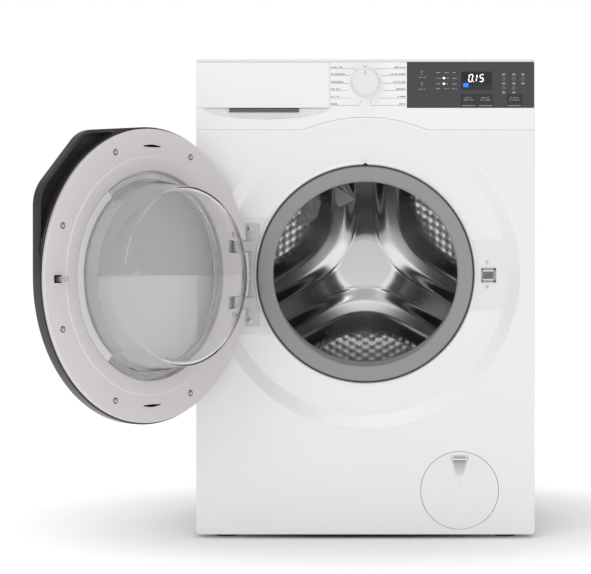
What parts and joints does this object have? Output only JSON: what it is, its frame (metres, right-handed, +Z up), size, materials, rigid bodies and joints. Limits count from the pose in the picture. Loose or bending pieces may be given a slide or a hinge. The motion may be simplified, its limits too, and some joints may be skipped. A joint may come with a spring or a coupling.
{
  "type": "front load washing machine",
  "caption": "Free-standing front load washing machine with its round door open, detergent drawer, programme knob, display, sprung tub, belt-driven drum and filter flap.",
  "frame": {"origin": "middle of the front left levelling foot's pad, on the floor", "axes": "+Z up, +Y towards the back of the cabinet, +X to the right seen from the front"},
  "size_m": [0.8351, 0.9802, 0.85],
  "materials": {
    "white_enamel": "satin",
    "white_plastic": "satin",
    "dark_display": "gloss",
    "dark_key": "satin",
    "zinc_steel": "satin",
    "stainless": "polished",
    "cast_alloy": "as cast",
    "grey_rubber": "matt",
    "black_rubber": "matt",
    "tub_polymer": "matt",
    "concrete": "rough",
    "black_cover": "satin",
    "pale_ring": "satin",
    "clear_glass": "polished",
    "window_tint": "polished",
    "grey_plastic": "matt",
    "black_paint": "satin"
  },
  "bodies": {
    "cabinet": {"cabinet_shell": "white_enamel", "back_panel": "zinc_steel", "base_pan": "black_paint", "foot_front_left": "black_rubber", "foot_front_right": "black_rubber", "foot_rear_left": "black_rubber", "foot_rear_right": "black_rubber", "front_panel": "white_enamel", "worktop": "white_plastic", "crossbeam": "zinc_steel", "control_fascia": "white_plastic", "display_panel": "dark_display", "control_unit": "grey_plastic", "dispenser_housing": "grey_plastic", "inlet_valve": "grey_plastic", "power_inlet": "black_rubber", "drain_outlet": "grey_plastic", "pump_housing": "grey_plastic", "door_seal": "grey_rubber", "hinge_bracket": "zinc_steel", "door_lock": "grey_plastic", "damper_cylinder_left": "grey_plastic", "damper_cylinder_right": "grey_plastic"},
    "tub": {"tub_front": "tub_polymer", "tub_rear": "tub_polymer", "heater": "stainless", "counterweight_front": "concrete", "counterweight_top": "concrete", "bearing_front": "stainless", "bearing_rear": "stainless", "motor_housing": "cast_alloy", "drive_belt": "black_rubber", "damper_rod_left": "zinc_steel", "damper_rod_right": "zinc_steel", "suspension_spring_left": "zinc_steel", "suspension_spring_right": "zinc_steel", "spray_nozzle": "grey_plastic"},
    "drum": {"drum_shell": "stainless", "drum_back": "stainless", "drum_spider": "cast_alloy", "drum_shaft": "stainless", "lifter_1": "grey_plastic", "lifter_2": "grey_plastic", "lifter_3": "grey_plastic", "drum_pulley": "cast_alloy"},
    "rotor": {"motor_pulley": "stainless"},
    "door": {"door_cover": "black_cover", "door_window": "window_tint", "door_inner_ring": "pale_ring", "door_glass_bowl": "clear_glass", "hinge_arm": "zinc_steel"},
    "latch": {"door_hook": "zinc_steel"},
    "drawer": {"drawer_front": "white_plastic", "drawer_tray": "grey_plastic"},
    "knob": {"programme_knob": "white_plastic"},
    "options_key": {"key_options": "dark_key"},
    "delay_key": {"key_delay": "dark_key"},
    "start_key": {"key_start": "dark_key"},
    "flap": {"filter_flap": "white_plastic"},
    "filter": {"pump_filter": "grey_plastic"}
  },
  "joints": [
    {"name": "door_hinge", "type": "hinge", "parent": "cabinet", "child": "door", "pos_m": [0.02, -0.067, 0.4695], "axis": [0, 0, -1], "range_deg": [-128.5, 16]},
    {"name": "latch_tilt", "type": "hinge", "parent": "door", "child": "latch", "pos_m": [-0.24763, -0.42273, 0.467], "axis": [0, 0, 1], "range_deg": [-3, 3], "stiffness_Nm_per_rad": 0.5},
    {"name": "drawer_slide", "type": "slide", "parent": "cabinet", "child": "drawer", "axis": [0, -1, 0], "range_m": [0, 0.2]},
    {"name": "programme_turn", "type": "hinge", "parent": "cabinet", "child": "knob", "pos_m": [0.25, -0.055, 0.809], "axis": [0, 1, 0], "continuous": true},
    {"name": "options_key_press", "type": "slide", "parent": "cabinet", "child": "options_key", "axis": [0, 1, 0], "range_m": [0, 0.0008], "stiffness_N_per_m": 400},
    {"name": "delay_key_press", "type": "slide", "parent": "cabinet", "child": "delay_key", "axis": [0, 1, 0], "range_m": [0, 0.0008], "stiffness_N_per_m": 400},
    {"name": "start_key_press", "type": "slide", "parent": "cabinet", "child": "start_key", "axis": [0, 1, 0], "range_m": [0, 0.0008], "stiffness_N_per_m": 400},
    {"name": "flap_hinge", "type": "hinge", "parent": "cabinet", "child": "flap", "pos_m": [0.417, -0.055, 0.0185], "axis": [1, 0, 0], "range_deg": [0, 90]},
    {"name": "filter_turn", "type": "hinge", "parent": "cabinet", "child": "filter", "pos_m": [0.417, -0.035, 0.086], "axis": [0, 1, 0], "range_deg": [0, 270]},
    {"name": "tub_bounce", "type": "slide", "parent": "cabinet", "child": "tub", "axis": [0, 0, 1], "range_m": [-0.008, 0.008], "stiffness_N_per_m": 9000, "springref_m": 0.03756, "deforming": ["suspension_spring_left", "suspension_spring_right", "door_seal"]},
    {"name": "drum_spin", "type": "hinge", "parent": "tub", "child": "drum", "pos_m": [0.25, 0.195, 0.4815], "axis": [0, 1, 0], "continuous": true},
    {"name": "motor_spin", "type": "hinge", "parent": "tub", "child": "rotor", "pos_m": [0.25, 0.435, 0.15], "axis": [0, 1, 0], "continuous": true}
  ],
  "couplings": [
    {"joint": "motor_spin", "follows": "drum_spin", "ratio": 13.636}
  ]
}
